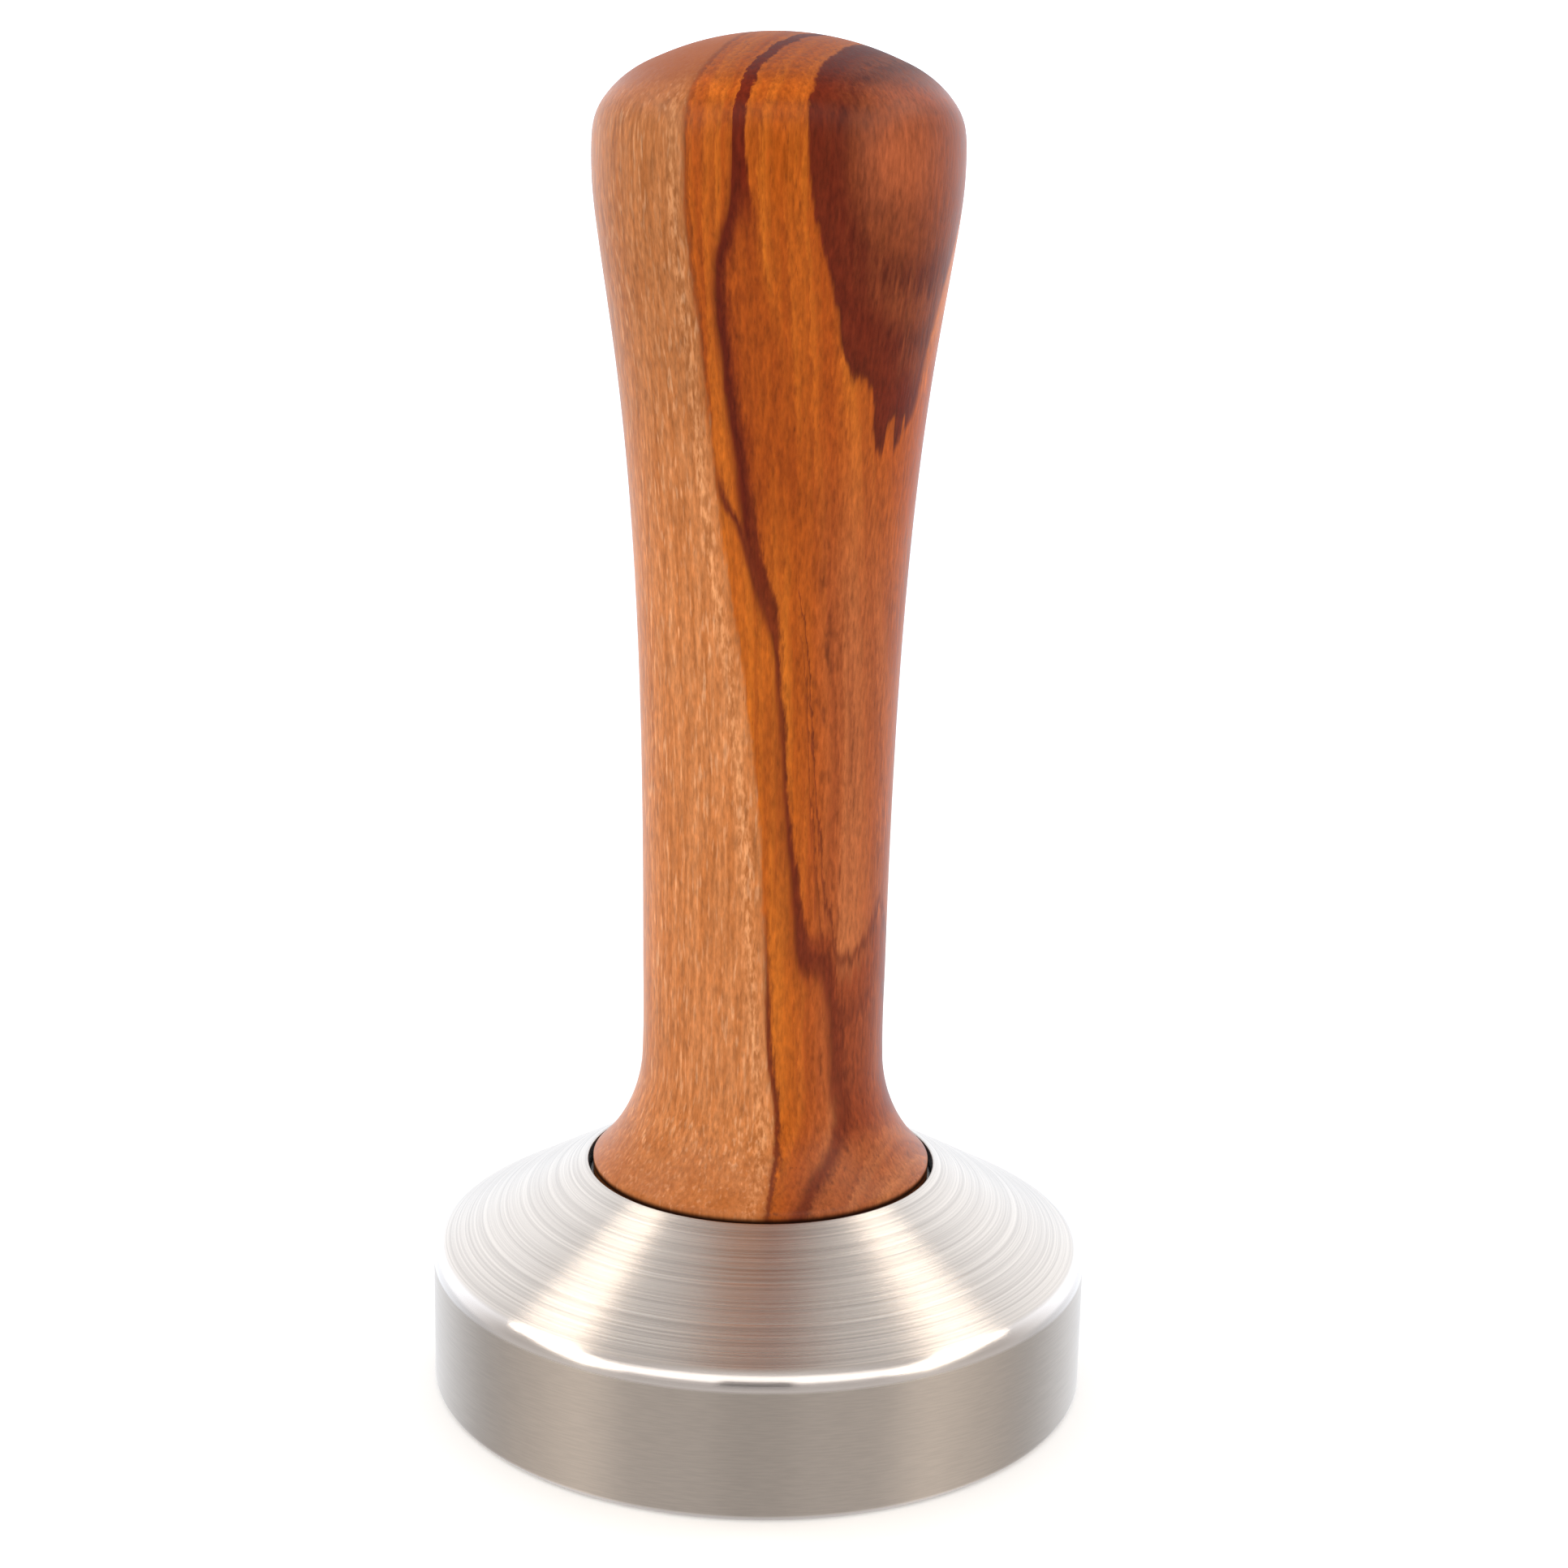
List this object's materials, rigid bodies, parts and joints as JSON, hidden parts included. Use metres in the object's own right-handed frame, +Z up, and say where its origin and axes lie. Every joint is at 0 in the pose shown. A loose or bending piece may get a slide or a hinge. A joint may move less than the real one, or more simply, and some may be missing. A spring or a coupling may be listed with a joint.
{
  "type": "espresso tamper",
  "caption": "Espresso tamper for a 58 mm basket: turned stainless-steel base with a conical top, and an olive-wood handle that unscrews from a stud in the base.",
  "frame": {"origin": "centre of the flat tamping face, on the axis", "axes": "+Z up along the axis, from the tamping face to the round end of the handle. The shape is turned, so X and Y are alike; the insert's slot runs along X at rest"},
  "size_m": [0.058, 0.058, 0.116],
  "materials": {
    "turned_steel": "fine turned, satin",
    "stud_steel": "plain machined",
    "olive_wood": "oiled satin, strong dark figure",
    "insert_brass": "plain machined",
    "black_rubber": "matte"
  },
  "bodies": {
    "base": {"base": "turned_steel", "stud": "stud_steel"},
    "ring": {"o_ring": "black_rubber"},
    "handle": {"handle": "olive_wood", "threaded_insert": "insert_brass"}
  },
  "joints": [
    {"name": "handle_rise", "type": "slide", "parent": "base", "child": "ring", "axis": [0, 0, 1], "range_m": [0, 0.01031]},
    {"name": "handle_turn", "type": "hinge", "parent": "ring", "child": "handle", "pos_m": [0, 0, 0.0181], "axis": [0, 0, 1], "range_deg": [0, 2970]}
  ],
  "couplings": [
    {"joint": "handle_rise", "follows": "handle_turn", "m_per_rad": 0.00019894}
  ]
}
